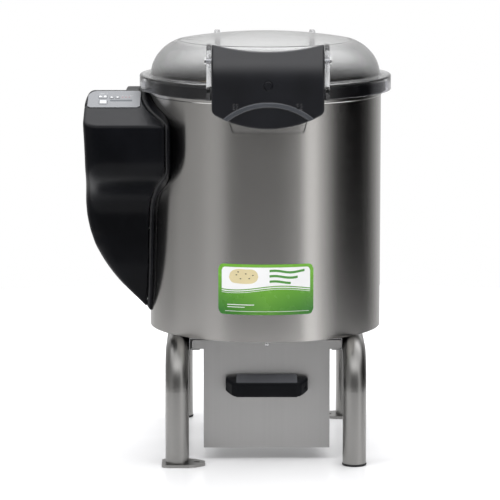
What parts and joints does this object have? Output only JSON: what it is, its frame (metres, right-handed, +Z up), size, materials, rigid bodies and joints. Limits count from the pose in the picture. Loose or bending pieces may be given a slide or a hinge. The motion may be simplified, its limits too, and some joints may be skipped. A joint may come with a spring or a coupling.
{
  "type": "electric potato peeler",
  "caption": "Drum peeler on two bent tube legs, with hinged clear lid, pull latch, side motor housing with keypad, rear discharge door and filter drawer.",
  "frame": {"origin": "on the floor, midway between the two floor bolt holes, under the drum's axis", "axes": "+Z up along the drum's axis, -Y to the front with the drawer handle, +X to the right, away from the motor housing"},
  "size_m": [0.5273, 0.495, 0.718],
  "materials": {
    "drum_steel": "brushed stainless sheet, grain round the drum",
    "sheet_steel": "plain stainless sheet",
    "front_steel": "satin stainless sheet, upright grain",
    "basket_steel": "bright stainless sheet with slots",
    "tube_steel": "satin stainless tube",
    "bright_steel": "turned steel",
    "abrasive": "abrasive grit coating",
    "cast_metal": "cast aluminium",
    "black_plastic": "fine textured moulded plastic, satin",
    "dark_plastic": "fine textured moulded plastic, satin",
    "latch_plastic": "fine textured moulded plastic, satin",
    "dark_screw": "blackened steel",
    "black_rubber": "smooth rubber",
    "keypad_film": "satin printed film",
    "key_green": "satin moulded key",
    "key_red": "satin moulded key",
    "key_light": "satin moulded key",
    "led": "clear tinted lens",
    "board": "circuit board",
    "capacitor_case": "plain moulded case",
    "brass_fitting": "turned brass",
    "label": "printed label plate",
    "clear_lid": "clear moulded polycarbonate"
  },
  "bodies": {
    "base": {"outer_drum": "drum_steel", "drum_rim": "drum_steel", "base_plate": "sheet_steel", "chamber_floor": "sheet_steel", "chamber_liner": "abrasive", "drain_duct": "sheet_steel", "bearing_housing": "cast_metal", "shaft_bearings": "bright_steel", "shaft_seal": "black_rubber", "left_leg": "tube_steel", "right_leg": "tube_steel", "leg_bolts": "bright_steel", "floor_plates": "tube_steel", "rubber_feet": "black_rubber", "left_rail": "sheet_steel", "right_rail": "sheet_steel", "housing_base": "dark_plastic", "housing_gasket": "black_rubber", "housing_cover": "black_plastic", "housing_screws": "dark_screw", "keypad_panel": "keypad_film", "status_leds": "led", "control_board": "board", "motor_bracket": "sheet_steel", "motor_stator": "cast_metal", "motor_shields": "cast_metal", "run_capacitor": "capacitor_case", "drive_belt": "black_rubber", "cable_gland": "black_plastic", "hinge_bracket": "black_plastic", "hinge_pin": "bright_steel", "water_inlet": "brass_fitting", "badge": "label", "chute_frame": "sheet_steel"},
    "lid": {"lid_dome": "clear_lid", "lid_gasket": "black_rubber", "latch_pins": "bright_steel"},
    "latch": {"latch_cover": "latch_plastic", "latch_cap": "dark_plastic", "latch_magnet": "bright_steel", "latch_spring": "bright_steel"},
    "drawer": {"drawer_box": "sheet_steel", "drawer_front": "front_steel", "drawer_handle": "black_plastic", "drawer_stud": "bright_steel", "filter_basket": "basket_steel", "drain_spigot": "dark_plastic"},
    "spindle": {"main_shaft": "bright_steel", "driven_pulley": "cast_metal"},
    "plate": {"abrasive_plate": "abrasive"},
    "rotor": {"motor_rotor": "bright_steel", "motor_pulley": "cast_metal", "cooling_fan": "black_plastic"},
    "door": {"discharge_door": "sheet_steel", "door_gasket": "black_rubber", "door_knob": "black_plastic"},
    "start_key": {"key_start": "key_green"},
    "stop_key": {"key_stop": "key_red"},
    "up_key": {"key_up": "key_light"},
    "down_key": {"key_down": "key_light"}
  },
  "joints": [
    {"name": "lid_hinge", "type": "hinge", "parent": "base", "child": "lid", "pos_m": [0, 0.232, 0.65], "axis": [-1, 0, 0], "range_deg": [0, 95]},
    {"name": "latch_pivot", "type": "hinge", "parent": "lid", "child": "latch", "pos_m": [0.003, -0.215, 0.687], "axis": [-1, 0, 0], "range_deg": [0, 20], "stiffness_Nm_per_rad": 0.5, "springref_deg": -17.19},
    {"name": "drawer_slide", "type": "slide", "parent": "base", "child": "drawer", "axis": [0, -1, 0], "range_m": [0, 0.26]},
    {"name": "plate_spin", "type": "hinge", "parent": "base", "child": "spindle", "pos_m": [0, 0, 0.36], "axis": [0, 0, 1], "continuous": true},
    {"name": "plate_lift", "type": "slide", "parent": "spindle", "child": "plate", "axis": [0, 0, 1], "range_m": [0, 0.12]},
    {"name": "motor_spin", "type": "hinge", "parent": "base", "child": "rotor", "pos_m": [-0.252, 0, 0.36], "axis": [0, 0, 1], "continuous": true},
    {"name": "door_hinge", "type": "hinge", "parent": "base", "child": "door", "pos_m": [0.05595, 0.24804, 0.486], "axis": [0, 0, 1], "range_deg": [0, 110]},
    {"name": "start_key_press", "type": "slide", "parent": "base", "child": "start_key", "axis": [0, 0.3188, -0.9478], "range_m": [0, 0.001], "stiffness_N_per_m": 400},
    {"name": "stop_key_press", "type": "slide", "parent": "base", "child": "stop_key", "axis": [0, 0.3188, -0.9478], "range_m": [0, 0.001], "stiffness_N_per_m": 400},
    {"name": "up_key_press", "type": "slide", "parent": "base", "child": "up_key", "axis": [0, 0.3188, -0.9478], "range_m": [0, 0.001], "stiffness_N_per_m": 400},
    {"name": "down_key_press", "type": "slide", "parent": "base", "child": "down_key", "axis": [0, 0.3188, -0.9478], "range_m": [0, 0.001], "stiffness_N_per_m": 400}
  ],
  "couplings": [
    {"joint": "motor_spin", "follows": "plate_spin", "ratio": 4.4444}
  ]
}
